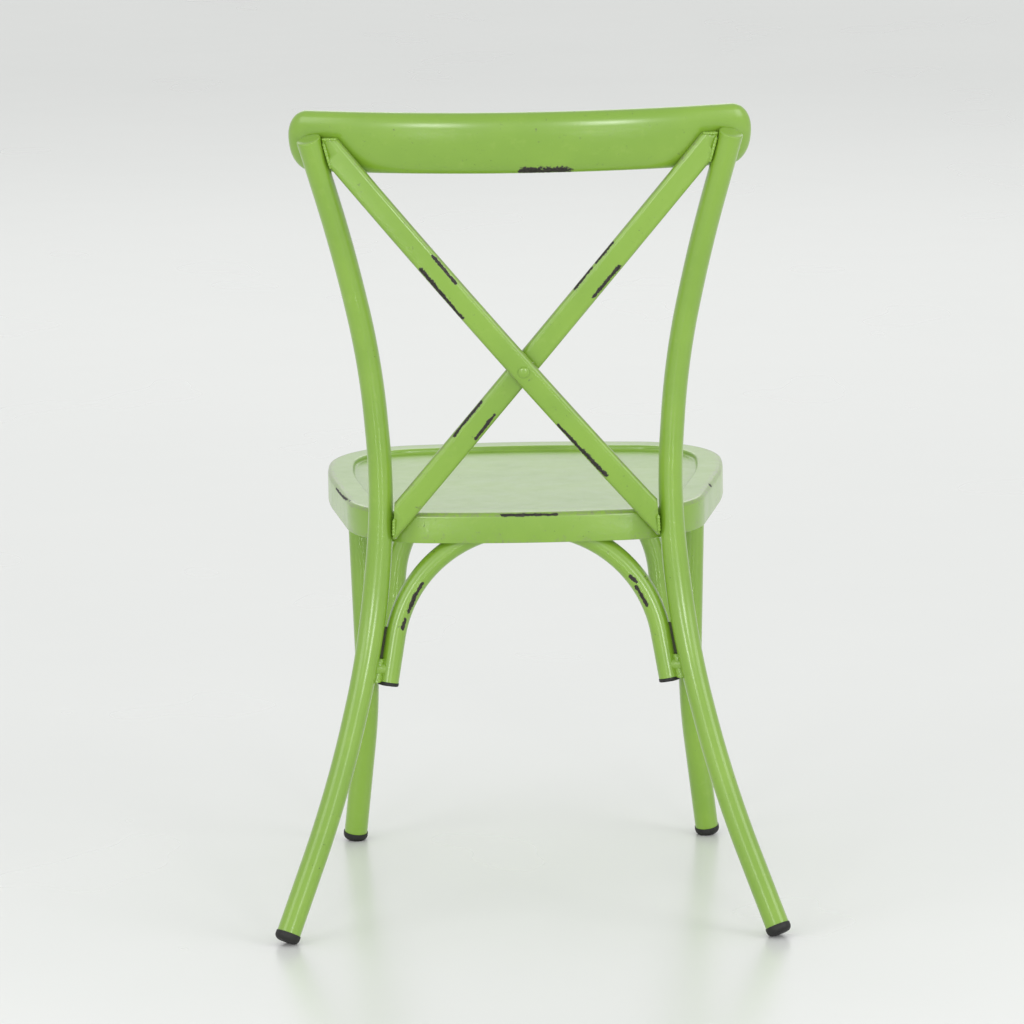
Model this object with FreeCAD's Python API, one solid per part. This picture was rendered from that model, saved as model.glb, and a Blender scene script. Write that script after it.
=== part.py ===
import FreeCAD
import Part
import math
import os

# Metal cross-back side chair: bent round tube legs, a pressed steel seat pan, a bowed oval
# top rail, two flat-oval bars crossing in the back and a bent hoop under each end of the seat.
# Axes: +Z up, the sitter faces -Y, and +X is the sitter's left. All sizes in millimetres.

# ---- driving dimensions ----
SEAT_HEIGHT = 437.0
SEAT_REAR_Y = 140.0
SHEET = 1.5
SKIRT_HEIGHT = 32.5
RIM_WIDTH = 28.0
RECESS_DEPTH = 5.5
PAN_EDGE_RADIUS = 5.5
PAN_STEP_RADIUS = 2.5

LEG_RADIUS = 12.7
LEG_WALL = 1.2
HOOP_RADIUS = 11.0
HOOP_WALL = 1.0
CAP_WALL = 0.7
CAP_HEIGHT = 9.5
CAP_FLOOR = 3.5
CAP_ROUNDING = 6.0
CAP_FLAT = 0.7
PLUG_HEAD = 4.0
PLUG_LIP = 0.3
PLUG_DEPTH = 14.0
SPACER_RADIUS = 8.0
SPACER_AT_HOOP = (146.0, 139.0, 272.0)
SPACER_AT_LEG = (172.5, 150.3, 272.0)

RAIL_CENTRE_Z = 838.5
RAIL_CENTRE_Y = 194.0
RAIL_HALF_HEIGHT = 33.5
RAIL_HALF_THICKNESS = 13.0
RAIL_BOW_RADIUS = 640.0
RAIL_HALF_LENGTH = 218.0
RAIL_DOME_LENGTH = 23.0
RAIL_WALL = 1.5
RECLINE_DEG = 13.0

BAR_WIDTH = 26.0
BAR_THICKNESS = 11.0
BAR_WALL = 1.2
BAR_TOP = (201.5, 184.0, 840.0)
BAR_BOTTOM = (138.0, 138.5, 430.0)
REAR_BAR_BOW = 17.0
FRONT_BAR_BOW = 4.0
BAR_END_TOP_Z = 845.0
BAR_END_LOW_Z = 411.0
BAR_TO_POST_GAP = 1.0
BAR_OVERRUN = 1.06
RIVET_SHANK_RADIUS = 3.0
RIVET_SHANK_INTO_HEAD = 0.5
RIVET_HEAD_RADIUS = 6.2
RIVET_HEAD_HEIGHT = 2.4
CROSSING_BOW_SHARE = 0.98

BRACE_WIDTH = 25.0
BRACE_THICKNESS = 4.0
BRACE_FRONT_END = (160.0, -143.0)
BRACE_REAR_END = (-128.0, 102.0)
PLATE_SIZE = (42.0, 46.0, 2.5)
PLATE_REACH = (28.0, 20.0)
PLATE_CORNER = 6.0

# Height, half spacing and depth of the bends of each leg, from the floor up.
REAR_LEG_BENDS = (
    (0.0, 261.0, 248.0),
    (150.0, 203.1, 190.0),
    (300.0, 165.1, 141.0),
    (450.0, 149.7, 126.5),
    (600.0, 160.4, 136.0),
    (730.0, 187.7, 159.0),
    (843.0, 218.5, 185.5),
)
FRONT_LEG_BENDS = (
    (0.0, 195.9, -203.0),
    (165.0, 176.9, -180.0),
    (427.5, 184.0, -162.0),
)
FRONT_LEG_BEND_RADIUS = 650.0
BEND_SHARE = 0.47

# Half spacing, depth and height of a hoop's lower end, and of the corner where its leg would
# meet the level of its crown.
REAR_HOOP_END = (148.4, 140.9, 257.5)
REAR_HOOP_CORNER = (120.8, 117.5, 418.3)
REAR_HOOP_BEND = 138.0
FRONT_HOOP_END = (154.5, -168.0, 188.0)
FRONT_HOOP_CORNER = (133.5, -168.0, 418.3)
FRONT_HOOP_BEND = 120.0

# Half width against distance from the rear edge, at the corners of the seat's outline, and
# the radius that rounds each corner.
SEAT_OUTLINE = (
    (0.0, -5.0, 900.0),
    (178.5, 14.5, 98.0),
    (216.0, 238.0, 480.0),
    (212.0, 380.0, 100.0),
    (0.0, 400.0, 700.0),
)

Z_AXIS = FreeCAD.Vector(0, 0, 1)
FAR = 600.0
FOOT_ZONE = 100.0
OVERLAP = 1.0


# ---- shared geometry ----
def vec(x, y, z):
    return FreeCAD.Vector(x, y, z)


def corner_arc(before, corner, after, radius):
    """The arc of the given radius that rounds a corner, or the largest that fits if None."""
    to_before = before - corner
    to_after = after - corner
    half_turn = (math.pi - to_before.getAngle(to_after)) / 2
    room = min(to_before.Length, to_after.Length)
    if radius is None:
        radius = BEND_SHARE * room / math.tan(half_turn)
    reach = radius * math.tan(half_turn)
    to_before.normalize()
    to_after.normalize()
    inward = to_before + to_after
    inward.normalize()
    middle = corner + inward * (radius / math.cos(half_turn) - radius)
    return Part.Arc(corner + to_before * reach, middle, corner + to_after * reach)


def joined(curves, closed=False):
    """A wire of the given arcs in order, with straight runs between them."""
    edges = []
    for here, following in zip(curves, curves[1:] + curves[:1]):
        edges.append(here.toShape())
        start = edges[-1].Vertexes[-1].Point
        end = following.toShape().Vertexes[0].Point
        last = here is curves[-1]
        if start.distanceToPoint(end) > 1e-4 and (closed or not last):
            edges.append(Part.LineSegment(start, end).toShape())
    return Part.Wire(edges)


def bent_path(points, radius=None):
    """An open path through the points: straight runs joined by tangent arcs."""
    arcs = []
    for before, corner, after in zip(points, points[1:], points[2:]):
        arcs.append(corner_arc(before, corner, after, radius))
    wire = joined(arcs)
    first = Part.LineSegment(points[0], wire.Vertexes[0].Point).toShape()
    last = Part.LineSegment(wire.Vertexes[-1].Point, points[-1]).toShape()
    return Part.Wire([first] + wire.Edges + [last])


def swept_disc(path, radius):
    start = path.Edges[0]
    direction = start.tangentAt(start.FirstParameter)
    circle = Part.makeCircle(radius, start.valueAt(start.FirstParameter), direction)
    return path.makePipeShell([Part.Wire(circle)], True, False)


def tube(path, radius, wall):
    return swept_disc(path, radius).cut(swept_disc(path, radius - wall))


def slab(z_low, z_high):
    """Everything between two heights."""
    return Part.makeBox(2 * FAR, 2 * FAR, z_high - z_low, vec(-FAR, -FAR, z_low))


def mirrored(shape):
    return shape.mirror(vec(0, 0, 0), vec(1, 0, 0))


def add_pair(nodes, name, left_shape):
    nodes[name + "_left"] = left_shape
    nodes[name + "_right"] = mirrored(left_shape)


# ---- seat pan ----
def seat_wire(inset, z):
    """The seat's rounded outline at height z, moved inward by inset."""
    half = [(x, SEAT_REAR_Y - depth, radius) for x, depth, radius in SEAT_OUTLINE]
    ring = half + [(-x, y, radius) for x, y, radius in reversed(half[1:-1])]
    corners = [vec(x, y, 0) for x, y, radius in ring]
    arcs = []
    for index, (x, y, radius) in enumerate(ring):
        after = corners[(index + 1) % len(corners)]
        arcs.append(corner_arc(corners[index - 1], corners[index], after, radius))
    wire = joined(arcs, closed=True)
    if inset:
        wire = wire.makeOffset2D(-inset)
    wire.translate(vec(0, 0, z))
    return wire


def seat_block(inset, z_low, z_high):
    return Part.Face(seat_wire(inset, z_low)).extrude(vec(0, 0, z_high - z_low))


def edges_at(shape, z):
    return [e for e in shape.Edges if abs(e.BoundBox.ZMin - z) < 1e-3 and e.BoundBox.ZLength < 1e-3]


def seat_envelope():
    block = seat_block(0, SEAT_HEIGHT - SKIRT_HEIGHT, SEAT_HEIGHT)
    return block.makeFillet(PAN_EDGE_RADIUS, edges_at(block, SEAT_HEIGHT))


def seat_pan():
    low = SEAT_HEIGHT - SKIRT_HEIGHT
    floor_z = SEAT_HEIGHT - RECESS_DEPTH
    cavity = seat_block(SHEET, low - OVERLAP, SEAT_HEIGHT - SHEET)
    cavity = cavity.makeFillet(PAN_EDGE_RADIUS - SHEET, edges_at(cavity, SEAT_HEIGHT - SHEET))
    under_recess = seat_block(RIM_WIDTH - SHEET, floor_z - SHEET, SEAT_HEIGHT)
    pan = seat_envelope().cut(cavity.cut(under_recess))
    pan = pan.cut(seat_block(RIM_WIDTH, floor_z, SEAT_HEIGHT + OVERLAP))
    inner_rim = [edge for edge in edges_at(pan, SEAT_HEIGHT) if inside_recess(edge)]
    return pan.makeFillet(PAN_STEP_RADIUS, edges_at(pan, floor_z) + inner_rim)


def inside_recess(edge):
    """True for an edge on the recess's own outline, RIM_WIDTH in from the seat's edge."""
    middle = edge.valueAt((edge.FirstParameter + edge.LastParameter) / 2)
    boundary = seat_wire(RIM_WIDTH, middle.z)
    return Part.Vertex(middle).distToShape(boundary)[0] < 0.01


# ---- top rail ----
def rail_frame(angle_deg):
    """The rail's place at an angle around its bow: X along, Y across, Z up its face."""
    recline = FreeCAD.Rotation(vec(1, 0, 0), -RECLINE_DEG)
    place = FreeCAD.Placement(vec(0, RAIL_CENTRE_Y, RAIL_CENTRE_Z), recline)
    turn = FreeCAD.Rotation(Z_AXIS, angle_deg)
    centre = vec(0, RAIL_CENTRE_Y - RAIL_BOW_RADIUS, RAIL_CENTRE_Z)
    return FreeCAD.Placement(vec(0, 0, 0), turn, centre).multiply(place)


def rail_section(inset):
    ellipse = Part.Ellipse(vec(0, 0, 0), RAIL_HALF_HEIGHT - inset, RAIL_HALF_THICKNESS - inset)
    face = Part.Face(Part.Wire(ellipse.toShape()))
    face.rotate(vec(0, 0, 0), vec(0, 1, 0), -90)
    return face


def rail_angle():
    return math.degrees(math.asin(RAIL_HALF_LENGTH / RAIL_BOW_RADIUS))


def rail_core(inset):
    """The bowed middle of the rail, smaller all round by inset."""
    face = rail_section(inset)
    face.Placement = rail_frame(-rail_angle()).multiply(face.Placement)
    centre = vec(0, RAIL_CENTRE_Y - RAIL_BOW_RADIUS, RAIL_CENTRE_Z)
    return face.revolve(centre, Z_AXIS, 2 * rail_angle())


def rail_dome(inset):
    """Half an ellipsoid that closes the rail's left end, smaller all round by inset."""
    stretch = FreeCAD.Matrix()
    stretch.scale(RAIL_DOME_LENGTH - inset, RAIL_HALF_THICKNESS - inset, RAIL_HALF_HEIGHT - inset)
    ball = Part.makeSphere(1.0, vec(0, 0, 0), Z_AXIS, -90, 90, 180)
    ball.rotate(vec(0, 0, 0), Z_AXIS, -90)
    dome = ball.transformGeometry(stretch)
    dome.Placement = rail_frame(-rail_angle()).multiply(dome.Placement)
    return dome


# ---- legs ----
def leg_points(bends):
    return [vec(x, y, z) for z, x, y in bends]


def rear_leg_path():
    return bent_path(leg_points(REAR_LEG_BENDS))


def front_leg_path():
    return bent_path(leg_points(FRONT_LEG_BENDS), FRONT_LEG_BEND_RADIUS)


def cap_base(bends):
    """The middle of the foot cap's underside, and the leg's direction there.

    The cap is square to the leg and rests on its rounded rim, worn flat by CAP_FLAT.
    """
    points = leg_points(bends)
    axis = points[1] - points[0]
    axis.normalize()
    rim = LEG_RADIUS + CAP_WALL - CAP_ROUNDING
    lean = math.sqrt(1 - axis.z ** 2)
    height = rim * lean + CAP_ROUNDING * (1 - axis.z) - CAP_FLAT
    return points[0] + axis * (height / axis.z), axis


def leg_solid(bends, radius, path):
    """A round bar along the leg's path, as long as the leg."""
    base, axis = cap_base(bends)
    corner = vec(-FOOT_ZONE, -FOOT_ZONE, -FOOT_ZONE)
    below = Part.makeBox(2 * FOOT_ZONE, 2 * FOOT_ZONE, FOOT_ZONE, corner)
    below.Placement = FreeCAD.Placement(base + axis * CAP_FLOOR, FreeCAD.Rotation(Z_AXIS, axis))
    return swept_disc(path, radius).cut(below)


def leg_tube(bends, path):
    return leg_solid(bends, LEG_RADIUS, path).cut(leg_solid(bends, LEG_RADIUS - LEG_WALL, path))


def foot_cap(bends):
    """A plastic cup on the foot, square to the leg, with a rounded rim worn flat at the floor."""
    base, axis = cap_base(bends)
    cup = Part.makeCylinder(LEG_RADIUS + CAP_WALL, CAP_HEIGHT, base, axis)
    rim = min(cup.Edges, key=lambda edge: edge.BoundBox.ZMin)
    cup = cup.makeFillet(CAP_ROUNDING, [rim])
    bore = Part.makeCylinder(LEG_RADIUS, CAP_HEIGHT, base + axis * CAP_FLOOR, axis)
    return cup.cut(bore).cut(slab(-FOOT_ZONE, 0))


# ---- hoops ----
def hoop_points(end, corner):
    left = [vec(*end), vec(*corner)]
    right = [vec(-p.x, p.y, p.z) for p in reversed(left)]
    return left + right


def hoop_path(end, corner, radius):
    return bent_path(hoop_points(end, corner), radius)


def hoop_plug(end, corner):
    """A plastic plug in a hoop's lower end: a head as wide as the tube and a stem inside it."""
    tip = vec(*end)
    axis = vec(*corner) - tip
    axis.normalize()
    head = Part.makeCylinder(HOOP_RADIUS + PLUG_LIP, PLUG_HEAD, tip - axis * PLUG_HEAD, axis)
    stem = Part.makeCylinder(HOOP_RADIUS - HOOP_WALL, PLUG_DEPTH, tip, axis)
    return head.fuse(stem)


def rear_hoop_spacer(hoop_solid, leg_bar):
    """The short round spacer between a rear hoop's end and the leg beside it."""
    hoop_point = vec(*SPACER_AT_HOOP)
    leg_point = vec(*SPACER_AT_LEG)
    length = hoop_point.distanceToPoint(leg_point)
    pin = Part.makeCylinder(SPACER_RADIUS, length, hoop_point, leg_point - hoop_point)
    return largest(pin.cut(hoop_solid).cut(leg_bar), (hoop_point + leg_point) / 2)


def largest(shape, near):
    """The one solid of a cut that holds, or lies nearest to, the given point."""
    probe = Part.Vertex(near)
    return min(shape.Solids, key=lambda solid: solid.distToShape(probe)[0])


# ---- crossing bars ----
def stadium(width, thickness):
    """A flat-oval face in the XZ plane, its width along X and its thickness along Z."""
    flat = (width - thickness) / 2
    r = thickness / 2
    right = Part.Arc(vec(flat, 0, -r), vec(flat + r, 0, 0), vec(flat, 0, r))
    left = Part.Arc(vec(-flat, 0, r), vec(-flat - r, 0, 0), vec(-flat, 0, -r))
    return Part.Face(joined([right, left], closed=True))


def bar_frame():
    """Chord of the left-top bar: its middle, its length and the turn that lays Y along it."""
    top = vec(*BAR_TOP)
    bottom = vec(-BAR_BOTTOM[0], BAR_BOTTOM[1], BAR_BOTTOM[2])
    along = bottom - top
    length = along.Length
    along.normalize()
    rise = vec(0, BAR_TOP[1] - BAR_BOTTOM[1], BAR_TOP[2] - BAR_BOTTOM[2])
    rearward = vec(1, 0, 0).cross(rise) * -1
    rearward.normalize()
    across = along.cross(rearward)
    turn = FreeCAD.Rotation(across, along, rearward, "XYZ")
    return FreeCAD.Placement((top + bottom) / 2, turn), length


def bowed_bar(bow, width, thickness):
    """A flat-oval bar along the chord whose middle stands out rearward by bow."""
    place, chord = bar_frame()
    radius = (chord * chord / 4 + bow * bow) / (2 * abs(bow))
    side = 1 if bow > 0 else -1
    centre = vec(0, 0, side * (abs(bow) - radius))
    half_angle = math.degrees(math.asin(chord / 2 / radius)) * BAR_OVERRUN
    face = stadium(width, thickness)
    face.translate(vec(0, 0, side * abs(bow)))
    face.rotate(centre, vec(1, 0, 0), half_angle)
    bar = face.revolve(centre, vec(1, 0, 0), -2 * half_angle)
    bar.Placement = place.multiply(bar.Placement)
    return bar


def outboard_region():
    """Everything outside the rear legs' centrelines, left and right."""
    points = [vec(x, -FAR, z) for z, x, y in REAR_LEG_BENDS[2:]]
    points.append(vec(points[-1].x, -FAR, 2 * FAR))
    corners = points + [vec(FAR, -FAR, 2 * FAR), vec(FAR, -FAR, points[0].z), points[0]]
    left = Part.Face(Part.makePolygon(corners)).extrude(vec(0, 2 * FAR, 0))
    return left.fuse(mirrored(left))


def trimmed_bar(bow, cutters):
    """A hollow bar cut by the cutters, on spline faces because its long arcs are so shallow."""
    outer = bowed_bar(bow, BAR_WIDTH, BAR_THICKNESS).toNurbs()
    inner = bowed_bar(bow, BAR_WIDTH - 2 * BAR_WALL, BAR_THICKNESS - 2 * BAR_WALL).toNurbs()
    bar = outer.cut(inner)
    for cutter in cutters:
        bar = bar.cut(cutter)
    return largest(bar, (vec(*BAR_TOP) + vec(-BAR_BOTTOM[0], *BAR_BOTTOM[1:])) / 2)


def crossing_point():
    """Where the two bars' chords cross, and the rearward direction there."""
    share = BAR_TOP[0] / (BAR_TOP[0] + BAR_BOTTOM[0])
    top = vec(0, BAR_TOP[1], BAR_TOP[2])
    bottom = vec(0, BAR_BOTTOM[1], BAR_BOTTOM[2])
    rearward = bar_frame()[0].Rotation.multVec(Z_AXIS)
    return top + (bottom - top) * share, rearward


def rivet_head(base, direction):
    """A low dome standing on base, its sphere cut off at the head's rim."""
    rise = RIVET_HEAD_HEIGHT
    radius = (RIVET_HEAD_RADIUS ** 2 + rise ** 2) / (2 * rise)
    ball = Part.makeSphere(radius, base + direction * (rise - radius))
    return ball.common(Part.makeCylinder(radius, rise + OVERLAP, base, direction))


def crossing_rivet():
    middle, rearward = crossing_point()
    half = BAR_THICKNESS / 2
    rear_face = middle + rearward * (REAR_BAR_BOW * CROSSING_BOW_SHARE + half)
    front_face = middle + rearward * (FRONT_BAR_BOW * CROSSING_BOW_SHARE - half)
    start = front_face - rearward * RIVET_SHANK_INTO_HEAD
    length = rear_face.distanceToPoint(front_face) + 2 * RIVET_SHANK_INTO_HEAD
    shank = Part.makeCylinder(RIVET_SHANK_RADIUS, length, start, rearward)
    return shank, [rivet_head(rear_face, rearward), rivet_head(front_face, rearward * -1)]


# ---- parts under the seat ----
def brace(z_top):
    """A flat bar under the seat, from the left front leg to the right rear corner."""
    start = vec(*BRACE_FRONT_END, 0)
    along = vec(*BRACE_REAR_END, 0) - start
    box = Part.makeBox(along.Length, BRACE_WIDTH, BRACE_THICKNESS, vec(0, -BRACE_WIDTH / 2, 0))
    turn = FreeCAD.Rotation(vec(1, 0, 0), along)
    box.Placement = FreeCAD.Placement(start + vec(0, 0, z_top - BRACE_THICKNESS), turn)
    return box


def leg_plate(z_top):
    """A plate between the left front leg's top and the seat's underside."""
    width, depth, thickness = PLATE_SIZE
    z, x, y = FRONT_LEG_BENDS[-1]
    corner = vec(x - PLATE_REACH[0], y - PLATE_REACH[1], z_top - thickness)
    plate = Part.makeBox(width, depth, thickness, corner)
    upright = [edge for edge in plate.Edges if edge.BoundBox.ZLength > thickness / 2]
    return plate.makeFillet(PLATE_CORNER, upright)


def build_nodes():
    nodes = {}
    rear_path = rear_leg_path()
    front_path = front_leg_path()
    under_z = SEAT_HEIGHT - RECESS_DEPTH - SHEET
    envelope = seat_envelope()
    rail_solid = rail_core(0)
    dome = rail_dome(0)

    nodes["seat_pan"] = seat_pan()
    nodes["top_rail"] = rail_solid.cut(rail_core(RAIL_WALL))
    add_pair(nodes, "rail_end_cap", dome.cut(rail_dome(RAIL_WALL)))

    rear_tube = leg_tube(REAR_LEG_BENDS, rear_path)
    rear_solid = leg_solid(REAR_LEG_BENDS, LEG_RADIUS, rear_path)
    add_pair(nodes, "rear_leg", rear_tube.cut(envelope).cut(rail_solid).cut(dome))
    front_tube = leg_tube(FRONT_LEG_BENDS, front_path)
    add_pair(nodes, "front_leg", front_tube.cut(slab(FRONT_LEG_BENDS[-1][0], FAR)))
    add_pair(nodes, "rear_foot_cap", foot_cap(REAR_LEG_BENDS))
    add_pair(nodes, "front_foot_cap", foot_cap(FRONT_LEG_BENDS))

    last = rear_path.Edges[-1]
    top = last.valueAt(last.LastParameter)
    lid = Part.makeCylinder(LEG_RADIUS, SHEET, top, last.tangentAt(last.LastParameter))
    add_pair(nodes, "post_end_disc", lid.cut(rail_solid).cut(dome))

    fat_post = swept_disc(rear_path, LEG_RADIUS + BAR_TO_POST_GAP)
    shank, heads = crossing_rivet()
    cutters = [
        outboard_region(),
        fat_post.fuse(mirrored(fat_post)),
        rail_solid,
        envelope,
        slab(BAR_END_TOP_Z, 2 * FAR),
        slab(0, BAR_END_LOW_Z),
        shank,
    ]
    nodes["back_bar_rear"] = trimmed_bar(REAR_BAR_BOW, cutters)
    nodes["back_bar_front"] = mirrored(trimmed_bar(FRONT_BAR_BOW, cutters))
    nodes["crossing_rivet"] = shank.fuse(heads)

    rear_hoop = hoop_path(REAR_HOOP_END, REAR_HOOP_CORNER, REAR_HOOP_BEND)
    front_hoop = hoop_path(FRONT_HOOP_END, FRONT_HOOP_CORNER, FRONT_HOOP_BEND)
    nodes["rear_hoop"] = tube(rear_hoop, HOOP_RADIUS, HOOP_WALL)
    nodes["front_hoop"] = tube(front_hoop, HOOP_RADIUS, HOOP_WALL)
    add_pair(nodes, "rear_hoop_plug", hoop_plug(REAR_HOOP_END, REAR_HOOP_CORNER))
    add_pair(nodes, "front_hoop_plug", hoop_plug(FRONT_HOOP_END, FRONT_HOOP_CORNER))
    hoop_solid = swept_disc(rear_hoop, HOOP_RADIUS)
    add_pair(nodes, "rear_hoop_spacer", rear_hoop_spacer(hoop_solid, rear_solid))

    add_pair(nodes, "front_leg_plate", leg_plate(under_z))
    nodes["cross_brace_upper"] = brace(under_z)
    nodes["cross_brace_lower"] = mirrored(brace(under_z - BRACE_THICKNESS))
    return nodes


def centred(nodes):
    """Moves every node so that the origin is the middle of the chair's footprint."""
    box = Part.makeCompound(list(nodes.values())).optimalBoundingBox(False, False)
    shift = vec(-box.Center.x, -box.Center.y, -box.ZMin)
    for shape in nodes.values():
        shape.translate(shift)
    return shift


def main():
    os.makedirs("parts", exist_ok=True)
    nodes = build_nodes()
    shift = centred(nodes)
    print("shift", [round(value, 3) for value in shift])
    for name, shape in nodes.items():
        shape.exportStep("parts/" + name + ".step")
        print(name, len(shape.Solids), shape.isValid(), round(shape.Volume / 1000, 2))


main()
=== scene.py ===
import math
import random

import bmesh
import bpy
from mathutils import Matrix, Vector
from mathutils.bvhtree import BVHTree


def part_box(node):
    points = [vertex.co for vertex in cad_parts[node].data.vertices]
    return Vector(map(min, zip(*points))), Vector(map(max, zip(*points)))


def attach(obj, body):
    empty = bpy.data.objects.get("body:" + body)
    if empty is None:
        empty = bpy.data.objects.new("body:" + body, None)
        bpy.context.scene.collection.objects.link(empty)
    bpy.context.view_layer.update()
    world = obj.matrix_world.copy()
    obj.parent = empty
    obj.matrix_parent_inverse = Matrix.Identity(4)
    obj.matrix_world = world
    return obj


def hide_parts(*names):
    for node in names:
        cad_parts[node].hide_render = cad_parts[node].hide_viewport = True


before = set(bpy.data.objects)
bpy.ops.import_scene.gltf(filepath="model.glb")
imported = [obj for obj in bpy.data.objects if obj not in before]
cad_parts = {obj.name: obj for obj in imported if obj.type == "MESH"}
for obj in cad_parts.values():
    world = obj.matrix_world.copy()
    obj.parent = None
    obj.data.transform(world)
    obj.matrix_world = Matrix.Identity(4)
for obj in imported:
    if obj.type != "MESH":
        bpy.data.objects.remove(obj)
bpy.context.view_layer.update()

# Cross-back metal side chair. Everything is in metres, in the frame's own axes:
# +Z up, the sitter faces -Y, and +X is the sitter's left.

ROOT = "root"
X_AXIS = Vector((1, 0, 0))
Y_AXIS = Vector((0, 1, 0))
Z_AXIS = Vector((0, 0, 1))


# ---- driving dimensions, the same as the frame's own ----
def lift(values):
    """A point of the chair's drawing, moved into the frame."""
    return Vector((values[0], values[1] + DRAWING_SHIFT, values[2]))


def middle(node):
    low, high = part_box(node)
    return (Vector(low) + Vector(high)) / 2


FRONT_HOOP_Y = -0.168
DRAWING_SHIFT = middle("front_hoop").y - FRONT_HOOP_Y

LEG_RADIUS = 0.0127
HOOP_RADIUS = 0.011
REAR_LEG = [
    (0.261, 0.248, 0.0),
    (0.2031, 0.190, 0.150),
    (0.1651, 0.141, 0.300),
    (0.1497, 0.1265, 0.450),
    (0.1604, 0.136, 0.600),
    (0.1877, 0.159, 0.730),
    (0.2185, 0.1855, 0.843),
]
FRONT_LEG = [
    (0.1959, -0.203, 0.0),
    (0.1769, -0.180, 0.165),
    (0.184, -0.162, 0.4275),
]
FRONT_LEG_BEND = 0.65
BEND_SHARE = 0.47

REAR_HOOP_END = (0.1484, 0.1409, 0.2575)
REAR_HOOP_CORNER = (0.1208, 0.1175, 0.4183)
REAR_HOOP_BEND = 0.138
FRONT_HOOP_END = (0.1545, FRONT_HOOP_Y, 0.188)
FRONT_HOOP_CORNER = (0.1335, FRONT_HOOP_Y, 0.4183)
FRONT_HOOP_BEND = 0.12
PLUG_HEAD = 0.004
PLUG_LIP = 0.0003
SPACER_RADIUS = 0.008
SPACER_AT_HOOP = (0.146, 0.139, 0.272)
SPACER_AT_LEG = (0.1725, 0.1503, 0.272)

SEAT_REAR_Y = 0.140
SEAT_OUTLINE = [
    (0.0, -0.005, 0.9),
    (0.1785, 0.0145, 0.098),
    (0.216, 0.238, 0.48),
    (0.212, 0.380, 0.1),
    (0.0, 0.400, 0.7),
]
SEAT_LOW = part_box("seat_pan")[0][2]
SEAT_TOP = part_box("seat_pan")[1][2]
SHEET = 0.0015
RIM_WIDTH = 0.028
RECESS = 0.0055
EDGE_RADIUS = 0.0055
STEP_RADIUS = 0.0025
SEAT_DISH = 0.0012

RAIL_CENTRE = (0.0, 0.194, 0.8385)
RAIL_BOW = 0.64
RAIL_HALF_LENGTH = 0.218
RAIL_DOME = 0.023
RAIL_HALF_HEIGHT = 0.0333
RAIL_HALF_THICKNESS = 0.013
RECLINE = math.radians(13)

BAR_WIDTH = 0.026
BAR_THICKNESS = 0.011
BAR_TOP = (0.2015, 0.184, 0.840)
BAR_BOTTOM = (0.138, 0.1385, 0.430)
REAR_BAR_BOW = 0.017
FRONT_BAR_BOW = 0.004
BAR_OVERRUN = 1.06
BAR_POST_GAP = 0.0009

CAP_WALL = 0.0007
CAP_HEIGHT = 0.0095
CAP_FLOOR = 0.0035
CAP_ROUNDING = 0.006
CAP_FLAT = 0.0007
AXIS_HOLE = 0.0005

CROSSING_BOW_SHARE = 0.98
RIVET_SHANK_RADIUS = 0.003
RIVET_HEAD_RADIUS = 0.0062
RIVET_HEAD_RISE = 0.0022
BRACE_START = (0.160, -0.143, 0)
BRACE_END = (-0.128, 0.102, 0)
BRACE_WIDTH = 0.025
RAIL_WELD_REACH = 0.09

CAMERA_PLACE = (0, 7.5, 1.9406)
CAMERA_PITCH = math.radians(11.538)
CAMERA_YAW = math.radians(0.115)
CAMERA_ROLL = math.radians(-0.982)
SENSOR_WIDTH = 36
LENS = 251.05


# ---- mesh helpers ----
def mirrored(points):
    return [Vector((-p.x, p.y, p.z)) for p in points]


def make_piece(name, verts, faces, material, nodes=(), sharp=35, rub=()):
    """A new mesh object that rides on the chair and stands for the named nodes.

    rub says how exposed each vertex is to rubbing, from 0 to 1, for the paint to wear there.
    """
    mesh = bpy.data.meshes.new(name)
    mesh.from_pydata([tuple(v) for v in verts], [], faces)
    if rub:
        mesh.attributes.new("rub", "FLOAT", "POINT").data.foreach_set("value", list(rub))
    bm = bmesh.new()
    bm.from_mesh(mesh)
    bmesh.ops.remove_doubles(bm, verts=bm.verts, dist=1e-6)
    bmesh.ops.recalc_face_normals(bm, faces=bm.faces)
    bm.to_mesh(mesh)
    bm.free()
    return register(name, mesh, material, nodes, sharp)


def register(name, mesh, material, nodes, sharp):
    mesh.shade_smooth()
    mesh.set_sharp_from_angle(angle=math.radians(sharp))
    mesh.materials.append(material)
    piece = bpy.data.objects.new(name, mesh)
    bpy.context.scene.collection.objects.link(piece)
    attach(piece, ROOT)
    if nodes:
        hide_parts(*nodes)
    return piece


def surface_of(piece):
    mesh = piece.data
    return BVHTree.FromPolygons([v.co for v in mesh.vertices], [list(p.vertices) for p in mesh.polygons])


def on_surface(verts, faces, marks):
    """Worn marks given as (start, end, reach) in drawing coordinates, laid on the surface."""
    surface = BVHTree.FromPolygons(verts, faces)
    return [
        (surface.find_nearest(lift(start))[0], surface.find_nearest(lift(end))[0], reach)
        for start, end, reach in marks
    ]


def arc_points(before, corner, after, radius, spacing):
    """Points along the arc that rounds a corner of a path."""
    to_before = (before - corner).normalized()
    to_after = (after - corner).normalized()
    half_turn = (math.pi - to_before.angle(to_after)) / 2
    if radius is None:
        room = min((before - corner).length, (after - corner).length)
        radius = BEND_SHARE * room / math.tan(half_turn)
    inward = (to_before + to_after).normalized()
    centre = corner + inward * (radius / math.cos(half_turn))
    start = corner + to_before * (radius * math.tan(half_turn)) - centre
    axis = start.cross(corner + to_after * (radius * math.tan(half_turn)) - centre)
    count = max(4, math.ceil(2 * half_turn * radius / spacing))
    turns = [2 * half_turn * i / count for i in range(count + 1)]
    return [centre + Matrix.Rotation(turn, 3, axis) @ start for turn in turns]


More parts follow.
